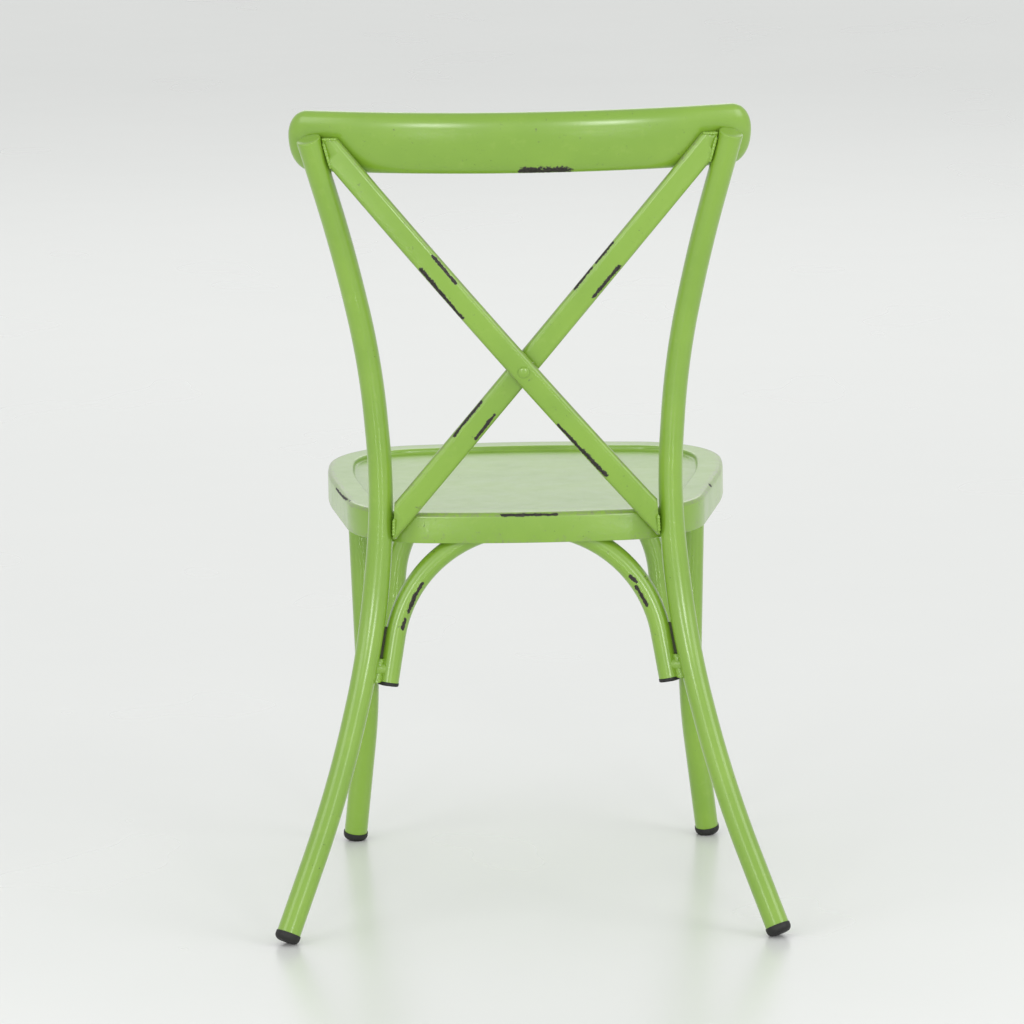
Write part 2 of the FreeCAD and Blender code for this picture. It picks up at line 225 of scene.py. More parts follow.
def bent_path(points, radius=None, spacing=0.004):
    """Closely spaced points along straight runs joined by tangent arcs."""
    rounded = [points[0]]
    for before, corner, after in zip(points, points[1:], points[2:]):
        rounded += arc_points(before, corner, after, radius, spacing)
    rounded.append(points[-1])
    return resampled(rounded, spacing)


def resampled(points, spacing):
    """The same line with points at equal distances."""
    lengths = [0.0]
    for a, b in zip(points, points[1:]):
        lengths.append(lengths[-1] + (b - a).length)
    count = max(2, round(lengths[-1] / spacing))
    result = []
    index = 0
    for step in range(count + 1):
        target = lengths[-1] * step / count
        while index < len(points) - 2 and lengths[index + 1] < target:
            index += 1
        run = lengths[index + 1] - lengths[index]
        share = (target - lengths[index]) / run if run > 0 else 0
        result.append(points[index].lerp(points[index + 1], share))
    return result


def tangents(path):
    following = path[1:] + [path[-1] * 2 - path[-2]]
    previous = [path[0] * 2 - path[1]] + path[:-1]
    return [(b - a).normalized() for a, b in zip(previous, following)]


def rings_to_faces(ring_count, size, closed_ends=True):
    faces = []
    for ring in range(ring_count - 1):
        for i in range(size):
            j = (i + 1) % size
            faces.append([ring * size + i, ring * size + j, (ring + 1) * size + j, (ring + 1) * size + i])
    if closed_ends:
        faces.append(list(reversed(range(size))))
        faces.append([(ring_count - 1) * size + i for i in range(size)])
    return faces


def sweep(path, section, side, stretch=None):
    """Vertices and faces of a section carried along a path; side keeps it from twisting."""
    verts = []
    for point, tangent in zip(path, tangents(path)):
        across = (side - tangent * side.dot(tangent)).normalized()
        other = tangent.cross(across)
        wide, deep = stretch(point) if stretch else (1, 1)
        verts += [point + across * (a * wide) + other * (b * deep) for a, b in section]
    return verts, rings_to_faces(len(path), len(section))


def circle(radius, count=48):
    return [(radius * math.cos(turn), radius * math.sin(turn)) for turn in turns_of(count)]


def turns_of(count):
    return [2 * math.pi * i / count for i in range(count)]


def lathe(base, axis, profile, count=56):
    """A turned solid: profile is (radius, height) from the axis and back to it."""
    axis = axis.normalized()
    across = axis.orthogonal().normalized()
    other = axis.cross(across)
    verts = []
    for radius, height in profile:
        for turn in turns_of(count):
            spoke = across * math.cos(turn) + other * math.sin(turn)
            verts.append(base + axis * height + spoke * radius)
    return verts, rings_to_faces(len(profile), count)


def quarter(centre, radius, start_deg, end_deg, count=5):
    """Points on an arc in a profile, from one angle to another."""
    points = []
    for i in range(count + 1):
        angle = math.radians(start_deg + (end_deg - start_deg) * i / count)
        points.append((centre[0] + radius * math.cos(angle), centre[1] + radius * math.sin(angle)))
    return points


def cut_flat(mesh, point, normal):
    """Cuts away what lies on the normal's side of a plane, and closes the cut."""
    bm = bmesh.new()
    bm.from_mesh(mesh)
    everything = bm.verts[:] + bm.edges[:] + bm.faces[:]
    cut = bmesh.ops.bisect_plane(
        bm, geom=everything, dist=1e-7, plane_co=point, plane_no=normal, clear_outer=True
    )
    rim = [item for item in cut["geom_cut"] if isinstance(item, bmesh.types.BMEdge)]
    bmesh.ops.holes_fill(bm, edges=rim, sides=0)
    bm.to_mesh(mesh)
    bm.free()


# ---- materials ----
class Nodes:
    """Short calls for building a material's node tree."""

    def __init__(self, name):
        self.material = bpy.data.materials.new(name)
        self.material.use_nodes = True
        self.tree = self.material.node_tree
        self.shader = self.tree.nodes["Principled BSDF"]
        self.place = self.add("ShaderNodeTexCoord").outputs["Object"]

    def add(self, kind, **settings):
        node = self.tree.nodes.new(kind)
        for key, value in settings.items():
            setattr(node, key, value)
        return node

    def set(self, socket, value):
        """Links an output to a socket, or gives the socket a plain value."""
        if isinstance(value, bpy.types.NodeSocket):
            self.tree.links.new(value, socket)
        else:
            socket.default_value = value

    def noise(self, scale, detail=3.0, rough=0.5, where=None):
        node = self.add("ShaderNodeTexNoise")
        self.set(node.inputs["Vector"], where or self.place)
        node.inputs["Scale"].default_value = scale
        node.inputs["Detail"].default_value = detail
        node.inputs["Roughness"].default_value = rough
        return node.outputs["Fac"]

    def math(self, operation, first, second=0.0, clamp=False):
        node = self.add("ShaderNodeMath", operation=operation, use_clamp=clamp)
        self.set(node.inputs[0], first)
        self.set(node.inputs[1], second)
        return node.outputs[0]

    def vector(self, operation, first, second=(0, 0, 0), output=0):
        node = self.add("ShaderNodeVectorMath", operation=operation)
        self.set(node.inputs[0], first)
        self.set(node.inputs[1], second)
        return node.outputs[output]

    def scaled(self, vector, scale):
        node = self.add("ShaderNodeVectorMath", operation="SCALE")
        self.set(node.inputs[0], vector)
        self.set(node.inputs["Scale"], scale)
        return node.outputs[0]

    def remap(self, value, low, high, to_low=0.0, to_high=1.0, smooth=True):
        kind = "SMOOTHSTEP" if smooth else "LINEAR"
        node = self.add("ShaderNodeMapRange", interpolation_type=kind)
        numbers = (value, low, high, to_low, to_high)
        for socket, number in zip(node.inputs, numbers):
            self.set(socket, number)
        return node.outputs[0]

    def mix(self, share, first, second):
        node = self.add("ShaderNodeMix", data_type="RGBA")
        self.set(node.inputs["Factor"], share)
        self.set(node.inputs["A"], first)
        self.set(node.inputs["B"], second)
        return node.outputs["Result"]

    def bump(self, height, distance, strength=1.0, under=None):
        node = self.add("ShaderNodeBump")
        node.inputs["Distance"].default_value = distance
        node.inputs["Strength"].default_value = strength
        self.set(node.inputs["Height"], height)
        if under:
            self.set(node.inputs["Normal"], under)
        return node.outputs["Normal"]

    def near_line(self, start, end, reach):
        """1 on the line between two points, falling to 0 at the reach."""
        line = end - start
        offset = self.vector("SUBTRACT", self.place, tuple(start))
        along = self.vector("DOT_PRODUCT", offset, tuple(line), output=1)
        share = self.math("DIVIDE", along, line.length_squared, clamp=True)
        foot = self.scaled(tuple(line), share)
        distance = self.vector("LENGTH", self.vector("SUBTRACT", offset, foot), output=1)
        return self.remap(distance, reach, 0.0, smooth=False)


PAINT = (0.222, 0.398, 0.030, 1)
PAINT_DEEP = (0.192, 0.358, 0.024, 1)
PAINT_PALE = (0.252, 0.420, 0.050, 1)
PAINT_RUBBED = (0.205, 0.225, 0.120, 1)
PAINT_THIN = (0.070, 0.085, 0.030, 1)
PRIMER = (0.010, 0.008, 0.006, 1)
BARE_STEEL = (0.034, 0.027, 0.021, 1)


def worn_paint(name, marks=()):
    """Satin green paint, a little uneven, rubbed through to dark primer near the marks.

    Each mark is (start, end, reach): a line on the surface and how far its wear spreads.
    """
    n = Nodes(name)
    cloud = n.noise(7.0, 4.0, 0.55)
    mottle = n.noise(85.0, 3.0, 0.6)
    colour = n.mix(n.remap(cloud, 0.35, 0.65), PAINT_DEEP, PAINT)
    colour = n.mix(n.remap(mottle, 0.55, 0.8, 0.0, 0.45), colour, PAINT_PALE)
    specks = n.remap(n.noise(420.0, 2.0, 0.5), 0.735, 0.76)
    patches = n.remap(n.noise(16.0, 2.0, 0.5), 0.52, 0.66)
    chips = n.math("MULTIPLY", specks, patches)
    thin = n.math("MULTIPLY", chips, 0.6)
    ragged = n.noise(380.0, 4.0, 0.62)
    torn = n.noise(95.0, 3.0, 0.6)
    uneven = n.math("ADD", n.math("MULTIPLY", ragged, 0.55), n.math("MULTIPLY", torn, 0.55))
    swing = n.math("SUBTRACT", uneven, 0.55)
    exposed = n.add("ShaderNodeAttribute", attribute_name="rub").outputs["Fac"]
    rubbed = n.math("ADD", exposed, n.math("MULTIPLY", swing, 2.2))
    colour = n.mix(n.remap(rubbed, 0.35, 1.15, 0.0, 0.75), colour, PAINT_RUBBED)
    chips = n.math("MAXIMUM", chips, n.remap(n.math("MULTIPLY", rubbed, exposed), 1.32, 1.42))
    for start, end, reach in marks:
        closeness = n.near_line(start, end, reach)
        depth = n.math("ADD", closeness, n.math("MULTIPLY", swing, 1.8))
        chips = n.math("MAXIMUM", chips, n.remap(depth, 0.42, 0.48))
        thin = n.math("MAXIMUM", thin, n.remap(depth, 0.22, 0.50))
    colour = n.mix(n.math("MULTIPLY", thin, 0.75), colour, PAINT_THIN)
    metal = n.mix(n.remap(ragged, 0.45, 0.62), PRIMER, BARE_STEEL)
    colour = n.mix(chips, colour, metal)
    n.set(n.shader.inputs["Base Color"], colour)

    rough = n.remap(n.noise(38.0, 4.0, 0.6), 0.3, 0.7, 0.30, 0.40, smooth=False)
    rough = n.math("ADD", rough, n.math("MULTIPLY", chips, 0.35))
    n.set(n.shader.inputs["Roughness"], rough)
    n.shader.inputs["IOR"].default_value = 1.5
    n.set(n.shader.inputs["Coat Weight"], n.remap(chips, 0.0, 1.0, 0.8, 0.08, smooth=False))
    n.shader.inputs["Coat Roughness"].default_value = 0.20

    peel = n.bump(n.noise(520.0, 2.0, 0.5), 0.00006, 0.6)
    sag = n.bump(n.noise(60.0, 2.0, 0.5), 0.00018, 0.5, peel)
    edge = n.bump(n.math("SUBTRACT", 1.0, n.math("MAXIMUM", chips, thin)), 0.00012, 0.9, sag)
    n.set(n.shader.inputs["Normal"], edge)
    return n.material


def black_plastic():
    n = Nodes("black_plastic")
    grain = n.noise(700.0, 2.0, 0.5)
    scuff = n.noise(60.0, 5.0, 0.7)
    dust = n.remap(scuff, 0.5, 0.72, 0.0, 0.5)
    n.set(n.shader.inputs["Base Color"], n.mix(dust, (0.010, 0.010, 0.009, 1), (0.034, 0.034, 0.030, 1)))
    n.set(n.shader.inputs["Roughness"], n.remap(scuff, 0.3, 0.7, 0.50, 0.68, smooth=False))
    n.set(n.shader.inputs["Normal"], n.bump(grain, 0.00008, 0.6))
    return n.material


def dark_gap_fill():
    """Flat dark colour for the strip that fills the narrow gap between a rear hoop's end and its leg."""
    n = Nodes("dark_gap_fill")
    n.set(n.shader.inputs["Base Color"], n.mix(n.noise(180.0, 4.0, 0.6), PRIMER, PAINT_THIN))
    n.shader.inputs["Roughness"].default_value = 0.75
    n.set(n.shader.inputs["Normal"], n.bump(n.noise(300.0, 3.0, 0.6), 0.0003, 0.8))
    return n.material


def floor_material():
    n = Nodes("pale_floor")
    cloud = n.noise(1.3, 4.0, 0.6)
    n.set(n.shader.inputs["Base Color"], n.mix(cloud, (0.79, 0.80, 0.79, 1), (0.82, 0.825, 0.815, 1)))
    n.set(n.shader.inputs["Roughness"], n.remap(n.noise(3.0, 2.0), 0.3, 0.7, 0.24, 0.28, smooth=False))
    return n.material


PLASTIC = black_plastic()
PLAIN_PAINT = worn_paint("green_paint")
DARK_GAP_FILL = dark_gap_fill()


# ---- seat ----
def seat_ring():
    """The seat's outline as evenly spaced (point, inward direction) pairs."""
    half = [(x, SEAT_REAR_Y - depth, radius) for x, depth, radius in SEAT_OUTLINE]
    corners = half + [(-x, y, radius) for x, y, radius in reversed(half[1:-1])]
    points = [lift((x, y, 0)) for x, y, radius in corners]
    line = []
    for i, (x, y, radius) in enumerate(corners):
        after = points[(i + 1) % len(points)]
        line += arc_points(points[i - 1], points[i], after, radius, 0.003)
    line = resampled(line + [line[0]], 0.0055)[:-1]
    ring = []
    for i, point in enumerate(line):
        along = line[(i + 1) % len(line)] - line[i - 1]
        inward = Z_AXIS.cross(along).normalized()
        if inward.dot(Vector((0, -0.06, 0)) - point) < 0:
            inward = -inward
        ring.append((point, inward))
    return ring


def seat_profile():
    """(inset, z) pairs from the hem, over the rim and down into the recess, and back below."""
    floor = SEAT_TOP - RECESS
    hem = SHEET / 2
    fold = EDGE_RADIUS
    step = STEP_RADIUS
    outer = quarter((hem, SEAT_LOW + hem), hem, 360, 180, 6)
    outer += quarter((fold, SEAT_TOP - fold), fold, 180, 90, 10)
    outer += [(RIM_WIDTH * 0.45, SEAT_TOP), (RIM_WIDTH * 0.7, SEAT_TOP)]
    outer += quarter((RIM_WIDTH - step, SEAT_TOP - step), step, 90, 0, 6)
    outer += quarter((RIM_WIDTH + step, floor + step), step, 180, 270, 6)
    inner = quarter((RIM_WIDTH + step, floor + step), step + SHEET, 270, 180, 6)
    inner += quarter((RIM_WIDTH - step, SEAT_TOP - step), step - SHEET, 0, 90, 6)
    inner += quarter((fold, SEAT_TOP - fold), fold - SHEET, 90, 180, 8)
    return outer, inner


def seat_pan():
    ring = seat_ring()
    outer, inner = seat_profile()
    size = len(ring)
    centre = Vector((0, sum(point.y for point, inward in ring) / size, 0))
    verts = []

    def add_ring(inset, z, scale=1.0):
        for point, inward in ring:
            place = centre + (point + inward * inset - centre) * scale
            verts.append(Vector((place.x, place.y, z)))

    def add_floor(z, scales):
        for scale in scales:
            add_ring(RIM_WIDTH + STEP_RADIUS, z - SEAT_DISH * (1 - scale * scale), scale)

    shares = [0.97, 0.92, 0.85, 0.75, 0.63, 0.5, 0.37, 0.24, 0.12, 0.04]
    for inset, z in outer:
        add_ring(inset, z)
    add_floor(SEAT_TOP - RECESS, shares)
    top_count = len(verts) // size
    add_floor(SEAT_TOP - RECESS - SHEET, list(reversed(shares)))
    for inset, z in inner:
        add_ring(inset, z)
    count = len(verts) // size
    faces = rings_to_faces(count, size, closed_ends=False)
    gap = range((top_count - 1) * size, top_count * size)
    faces = [face for face in faces if face[0] not in gap]
    faces.append([(top_count - 1) * size + i for i in range(size)])
    faces.append([top_count * size + i for i in range(size)])
    for i in range(size):
        j = (i + 1) % size
        faces.append([i, j, (count - 1) * size + j, (count - 1) * size + i])
    fold = SEAT_TOP - 0.0016
    marks = [
        ((0.026, SEAT_REAR_Y, fold), (-0.032, SEAT_REAR_Y, fold), 0.0026),
        ((0.211, -0.026, fold), (0.206, 0.000, fold), 0.0022),
        ((0.206, 0.000, fold), (0.199, 0.024, fold), 0.0024),
        ((0.199, 0.024, fold), (0.187, 0.057, fold), 0.0026),
        ((-0.199, 0.000, SEAT_TOP), (-0.1995, 0.003, SEAT_TOP), 0.0040),
    ]
    rub = []
    for ring_index in range(count):
        at_hem = ring_index < 7 or ring_index > count - 3
        at_fold = 9 <= ring_index <= 17
        rub += [0.45 if at_hem else 0.7 if at_fold else 0.0] * size
    paint = worn_paint("green_paint_seat", on_surface(verts, faces, marks))
    return make_piece("seat", verts, faces, paint, ["seat_pan"], rub=rub)


# ---- top rail ----
RAIL_ANGLE = math.asin(RAIL_HALF_LENGTH / RAIL_BOW)
RAIL_SQUARENESS = 2.35


def rail_section(count=72):
    """The rail's upright oval, a little fuller than an ellipse."""
    section = []
    for turn in turns_of(count):
        c = math.cos(turn)
        s = math.sin(turn)
        high = RAIL_HALF_HEIGHT * math.copysign(abs(s) ** (2 / RAIL_SQUARENESS), s)
        deep = RAIL_HALF_THICKNESS * math.copysign(abs(c) ** (2 / RAIL_SQUARENESS), c)
        section.append((deep, high))
    return section


def rail_ring(angle, along=0.0, scale=1.0):
    """One section of the rail, at an angle round its bow and a distance past it."""
    recline = Matrix.Rotation(-RECLINE, 3, "X")
    turn = Matrix.Rotation(angle, 3, "Z")
    pivot = lift((0, RAIL_CENTRE[1] - RAIL_BOW, RAIL_CENTRE[2]))
    ring = []
    for deep, high in rail_section():
        local = recline @ Vector((0, deep * scale, high * scale))
        local += Vector((along, RAIL_BOW, 0))
        ring.append(pivot + turn @ local)
    return ring


def top_rail():
    count = 120
    verts = []
    for i in range(count + 1):
        verts += rail_ring(RAIL_ANGLE * (2 * i / count - 1))
    faces = rings_to_faces(count + 1, len(rail_section()))
    marks = [(lift((-0.002, 0.197, 0.8065)), lift((-0.047, 0.196, 0.8065)), 0.0105)]
    paint = worn_paint("green_paint_rail", marks)
    lowest = RAIL_CENTRE[2] - RAIL_HALF_HEIGHT
    rub = [0.5 * max(0.0, 1 - (v.z - lowest) / 0.006) for v in verts]
    return make_piece("top_rail_tube", verts, faces, paint, ["top_rail"], rub=rub)


def rail_end(name, side, node):
    count = 22
    verts = []
    for i in range(count):
        bend = math.pi / 2 * i / (count - 0.6)
        verts += rail_ring(-side * RAIL_ANGLE, side * RAIL_DOME * math.sin(bend), math.cos(bend) ** 0.9)
    faces = rings_to_faces(count, len(rail_section()))
    return make_piece(name, verts, faces, PLAIN_PAINT, [node])


# ---- legs ----
def squeeze(point):
    """Bending has flattened the rear leg a little just under the seat."""
    amount = 0.09 * math.exp(-(((point.z - 0.355) / 0.075) ** 2))
    return 1 + amount, 1 - amount


def leg_path(points, bend=None):
    return bent_path([lift(p) for p in points], bend, 0.005)


def cap_base(points):
    """The middle of a foot cap's underside, and the leg's direction there."""
    foot = lift(points[0])
    axis = (lift(points[1]) - foot).normalized()
    rim = LEG_RADIUS + CAP_WALL - CAP_ROUNDING
    lean = math.sqrt(1 - axis.z ** 2)
    height = rim * lean + CAP_ROUNDING * (1 - axis.z) - CAP_FLAT
    return foot + axis * (height / axis.z), axis


def leg(name, path, points, node, flip, stretch):
    """A leg tube, standing on its foot cap's floor."""
    base, axis = cap_base(points)
    start = base + axis * CAP_FLOOR
    path = [start] + [p for p in path if (p - start).dot(axis) > 0.001]
    if flip:
        path = mirrored(path)
    verts, faces = sweep(path, circle(LEG_RADIUS), X_AXIS, stretch)
    return make_piece(name, verts, faces, PLAIN_PAINT, [node])


def foot_cap(name, points, node, flip):
    base, axis = cap_base(points)
    outer = LEG_RADIUS + CAP_WALL
    profile = [(AXIS_HOLE, 0.0), (outer - CAP_ROUNDING - 0.002, 0.0)]
    profile += quarter((outer - CAP_ROUNDING, CAP_ROUNDING), CAP_ROUNDING, 270, 360, 10)
    profile += [(outer, CAP_HEIGHT * 0.75)]
    profile += quarter((outer - CAP_WALL / 2, CAP_HEIGHT - CAP_WALL / 2), CAP_WALL / 2, 0, 180, 6)
    profile += [(LEG_RADIUS, CAP_FLOOR), (AXIS_HOLE, CAP_FLOOR)]
    if flip:
        base, axis = mirrored([base, axis])
    verts, faces = lathe(base, axis, profile)
    piece = make_piece(name, verts, faces, PLASTIC, [node])
    cut_flat(piece.data, Vector((0, 0, 0)), -Z_AXIS)
    return piece


def post_disc(name, path, node, flip):
    """The closed end of a post, a disc with a softened edge."""
    path = mirrored(path) if flip else path
    axis = path[-1] - path[-2]
    soft = SHEET * 0.8
    profile = [(LEG_RADIUS, -0.0002)]
    profile += quarter((LEG_RADIUS - soft, SHEET - soft), soft, 0, 90, 5)
    profile += [(AXIS_HOLE, SHEET)]
    verts, faces = lathe(path[-1], axis, profile)
    return make_piece(name, verts, faces, PLAIN_PAINT, [node])


# ---- hoops ----
def hoop_path(end, corner, bend):
    left = [lift(end), lift(corner)]
    return bent_path(left + list(reversed(mirrored(left))), bend, 0.004)


def hoop(name, path, node, marks):
    verts, faces = sweep(path, circle(HOOP_RADIUS), Y_AXIS)
    paint = worn_paint("green_paint_" + name, on_surface(verts, faces, marks))
    return make_piece(name, verts, faces, paint, [node])


def hoop_plug(name, path, node, flip):
    path = list(reversed(path)) if flip else path
    axis = (path[0] - path[1]).normalized()
    head = HOOP_RADIUS + PLUG_LIP
    profile = [(AXIS_HOLE, -0.01), (HOOP_RADIUS - 0.001, -0.01), (HOOP_RADIUS - 0.001, 0)]
    profile += [(head - 0.0004, 0), (head, 0.0004)]
    profile += quarter((head - 0.0016, PLUG_HEAD - 0.0016), 0.0016, 0, 90, 6)
    profile += [(AXIS_HOLE, PLUG_HEAD)]
    verts, faces = lathe(path[0], axis, profile)
    return make_piece(name, verts, faces, PLASTIC, [node])


def spacer(name, node, flip):
    """The short weld piece that joins a rear hoop's end to its leg, waisted in the middle."""
    ends = [lift(SPACER_AT_HOOP), lift(SPACER_AT_LEG)]
    if flip:
        ends = mirrored(ends)
    length = (ends[1] - ends[0]).length
    profile = []
    for i in range(15):
        share = i / 14
        waist = 1 - 0.16 * math.sin(math.pi * share)
        ripple = 0.00018 * math.sin(9 * math.pi * share)
        profile.append((SPACER_RADIUS * waist + ripple, length * share))
    verts, faces = lathe(ends[0], ends[1] - ends[0], profile, 40)
    return make_piece(name, verts, faces, PLAIN_PAINT, [node])


# ---- crossing bars ----
def flat_oval(width, thickness, count=14):
    flat = (width - thickness) / 2
    half = thickness / 2
    section = quarter((flat, 0), half, -90, 90, count)
    section += quarter((-flat, 0), half, 90, 270, count)
    return section


def bar_line(bow):
    """A bar's centre line from its top end, and the direction its bow stands out in."""
    top = lift(BAR_TOP)
    bottom = lift((-BAR_BOTTOM[0], BAR_BOTTOM[1], BAR_BOTTOM[2]))
    along = (bottom - top).normalized()
    rise = Vector((0, BAR_TOP[1] - BAR_BOTTOM[1], BAR_TOP[2] - BAR_BOTTOM[2]))
    rearward = -X_AXIS.cross(rise).normalized()
    chord = (bottom - top).length
    radius = (chord * chord / 4 + bow * bow) / (2 * bow)
    reach = math.asin(chord / 2 / radius) * BAR_OVERRUN
    line = []
    for i in range(121):
        angle = reach * (2 * i / 120 - 1)
        out = bow - radius * (1 - math.cos(angle))
        line.append((top + bottom) / 2 + along * (radius * math.sin(angle)) + rearward * out)
    return line, rearward


def post_at(z, path):
    """The post's centre and direction at a height."""
    index = min(range(1, len(path) - 1), key=lambda i: abs(path[i].z - z))
    return path[index], (path[index + 1] - path[index - 1]).normalized()


def cross_bar(name, bow, node, flip, posts, marks):
    """A bar cut off beside the posts. Marks are as on_surface takes them."""
    line, rearward = bar_line(bow)
    if flip:
        line = mirrored(line)
    section = flat_oval(BAR_WIDTH, BAR_THICKNESS)
    verts, faces = sweep(line, section, across_bar(rearward, line))
    edge = [max(0.0, (abs(a) - BAR_WIDTH / 2 + 0.0045) / 0.0045) for a, b in section]
    rub = [0.8 * value for value in edge] * len(line)
    paint = worn_paint("green_paint_" + name, on_surface(verts, faces, marks))
    piece = make_piece(name, verts, faces, paint, [node], rub=rub)
    low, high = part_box(node)
    for z, sign in ((high[2], 1), (low[2], -1)):
        cut_flat(piece.data, Vector((0, 0, z)), Z_AXIS * sign)
        at_left = (line[0].x > 0) == (sign > 0)
        centre, direction = post_at(z, posts[0 if at_left else 1])
        outward = direction.cross(rearward).normalized()
        if (outward.x > 0) != at_left:
            outward = -outward
        cut_flat(piece.data, centre - outward * (LEG_RADIUS + BAR_POST_GAP), outward)
    return piece


def across_bar(rearward, line):
    """The direction across a bar's face."""
    return (line[-1] - line[0]).normalized().cross(rearward).normalized()


def crossing_rivet():
    rearward = bar_line(REAR_BAR_BOW)[1]
    share = BAR_TOP[0] / (BAR_TOP[0] + BAR_BOTTOM[0])
    chord_point = lift(BAR_TOP).lerp(lift((-BAR_BOTTOM[0], BAR_BOTTOM[1], BAR_BOTTOM[2])), share)
    rear = chord_point + rearward * (REAR_BAR_BOW * CROSSING_BOW_SHARE + BAR_THICKNESS / 2)
    front = chord_point + rearward * (FRONT_BAR_BOW * CROSSING_BOW_SHARE - BAR_THICKNESS / 2)
    length = (rear - front).length
    turns = [math.pi / 2 * i / 8 for i in range(9)]
    dome = [(RIVET_HEAD_RADIUS * math.cos(t), RIVET_HEAD_RISE * math.sin(t)) for t in turns]
    profile = [(max(r, 0.0003), -h) for r, h in reversed(dome)]
    profile += [(RIVET_SHANK_RADIUS, 0.0002), (RIVET_SHANK_RADIUS, length - 0.0002)]
    profile += [(max(r, 0.0003), length + h) for r, h in dome]
    verts, faces = lathe(front, rearward, profile, 40)
    return make_piece("rivet", verts, faces, PLAIN_PAINT, ["crossing_rivet"])


# ---- under the seat ----
def bevelled_prism(name, outline, z_low, z_high, bevel, node):
    """A flat plate with softened edges over an outline of (x, y) points."""
    size = len(outline)
    verts = [Vector((x, y, z)) for z in (z_low, z_high) for x, y in outline]
    mesh = bpy.data.meshes.new(name)
    mesh.from_pydata([tuple(v) for v in verts], [], rings_to_faces(2, size))
    bm = bmesh.new()
    bm.from_mesh(mesh)
    bmesh.ops.recalc_face_normals(bm, faces=bm.faces)
    rim = [edge for edge in bm.edges if abs(edge.verts[0].co.z - edge.verts[1].co.z) < 1e-6]
    bmesh.ops.bevel(bm, geom=rim, offset=bevel, segments=3, profile=0.5, affect="EDGES")
    bm.to_mesh(mesh)
    bm.free()
    return register(name, mesh, PLAIN_PAINT, [node], 40)


def rounded_box(low, high, radius):
    """The outline of a rectangle with round corners."""
    outline = []
    corners = (
        (high[0] - radius, high[1] - radius, 0),
        (low[0] + radius, high[1] - radius, 90),
        (low[0] + radius, low[1] + radius, 180),
        (high[0] - radius, low[1] + radius, 270),
    )
    for x, y, start in corners:
        outline += quarter((x, y), radius, start, start + 90, 6)
    return outline


def leg_plate(name, node):
    low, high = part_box(node)
    return bevelled_prism(name, rounded_box(low, high, 0.006), low[2], high[2], 0.0006, node)


def brace(name, node, flip):
    low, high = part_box(node)
    start = lift(BRACE_START)
    end = lift(BRACE_END)
    half_length = (end - start).length / 2
    outline = rounded_box((-half_length, -BRACE_WIDTH / 2), (half_length, BRACE_WIDTH / 2), 0.003)
    angle = math.atan2(end.y - start.y, end.x - start.x)
    centre = (start + end) / 2
    side = -1 if flip else 1
    placed = []
    for x, y in outline:
        turned = Matrix.Rotation(angle, 2) @ Vector((x, y))
        placed.append((side * (centre.x + turned.x), centre.y + turned.y))
    return bevelled_prism(name, placed, low[2], high[2], 0.0008, node)


# ---- welds ----
def bead(name, points, radius, seed):
    """A rippled weld bead along a line of points."""
    wobble = random.Random(seed)
    path = resampled(points, 0.0006)
    size = 14
    verts = []
    phase = wobble.uniform(0, 6)
    last = len(path) - 1
    for i, (point, tangent) in enumerate(zip(path, tangents(path))):
        across = tangent.orthogonal().normalized()
        other = tangent.cross(across)
        end = min(1.0, min(i, last - i) / 4)
        ripple = 1 + 0.13 * math.sin(phase + i * 1.05) + wobble.uniform(-0.03, 0.03)
        swell = radius * ripple * math.sqrt(max(end, 0.06))
        for turn in turns_of(size):
            verts.append(point + across * (swell * math.cos(turn)) + other * (swell * math.sin(turn)))
    faces = rings_to_faces(len(path), size)
    return make_piece(name, verts, faces, PLAIN_PAINT, sharp=60)


def hits_along(surface, starts, direction, reach):
    """Where lines of travel from the starts meet a surface, in order."""
    points = []
    for start in starts:
        hit = surface.ray_cast(start, direction, reach)[0]
        if hit:
            points.append(hit)
    return points


def longest_run(points, gap):
    """The longest stretch of neighbouring points, so that a bead never jumps a space."""
    runs = [[points[0]]]
    for before, point in zip(points, points[1:]):
        if (point - before).length > gap:
            runs.append([])
        runs[-1].append(point)
    return max(runs, key=len)


def weld_round(name, path, z_from, surface, radius, seed):
    """A bead where a post, followed upward from a height, runs into a surface."""
    centre, direction = post_at(z_from, path)
    across = X_AXIS.cross(direction).normalized()
    other = direction.cross(across)
    starts = []
    for turn in turns_of(240):
        starts.append(centre + (across * math.sin(turn) + other * math.cos(turn)) * LEG_RADIUS)
    first = first_miss(starts, surface, direction)
    starts = starts[first:] + starts[:first]
    points = longest_run(hits_along(surface, starts, direction, RAIL_WELD_REACH), 0.004)
    return bead(name, points, radius, seed)


def first_miss(starts, surface, direction):
    """The index of a start that misses the surface, where the loop can be opened."""
    for i, start in enumerate(starts):
        if surface.ray_cast(start, direction, RAIL_WELD_REACH)[0] is None:
            return i
    return 0


def weld_web(name, hoop, leg, z_low, z_high, thickness, material):
    """Weld metal that fills the narrow space between a hoop's end and its leg."""
    steps = 16
    verts = []
    for step in range(steps + 1):
        z = z_low + (z_high - z_low) * step / steps
        start = min(hoop, key=lambda p: (p.z - z) ** 2 + (p.x - leg[0].x) ** 2 * 1e-3)
        end = min(leg, key=lambda p: (p.z - z) ** 2)
        across = (Vector((end.x - start.x, end.y - start.y, 0))).normalized()
        ripple = 1 + 0.10 * math.sin(step * 2.1)
        near = Vector((start.x, start.y, z)) + across * (HOOP_RADIUS * 0.8)
        far = Vector((end.x, end.y, z)) - across * (LEG_RADIUS * 0.8)
        width = (far - near).length
        for a, b in flat_oval(width, min(thickness * ripple, width * 0.95), 6):
            verts.append((near + far) / 2 + across * a + Z_AXIS.cross(across) * b)
    faces = rings_to_faces(steps + 1, len(verts) // (steps + 1))
    return make_piece(name, verts, faces, material)


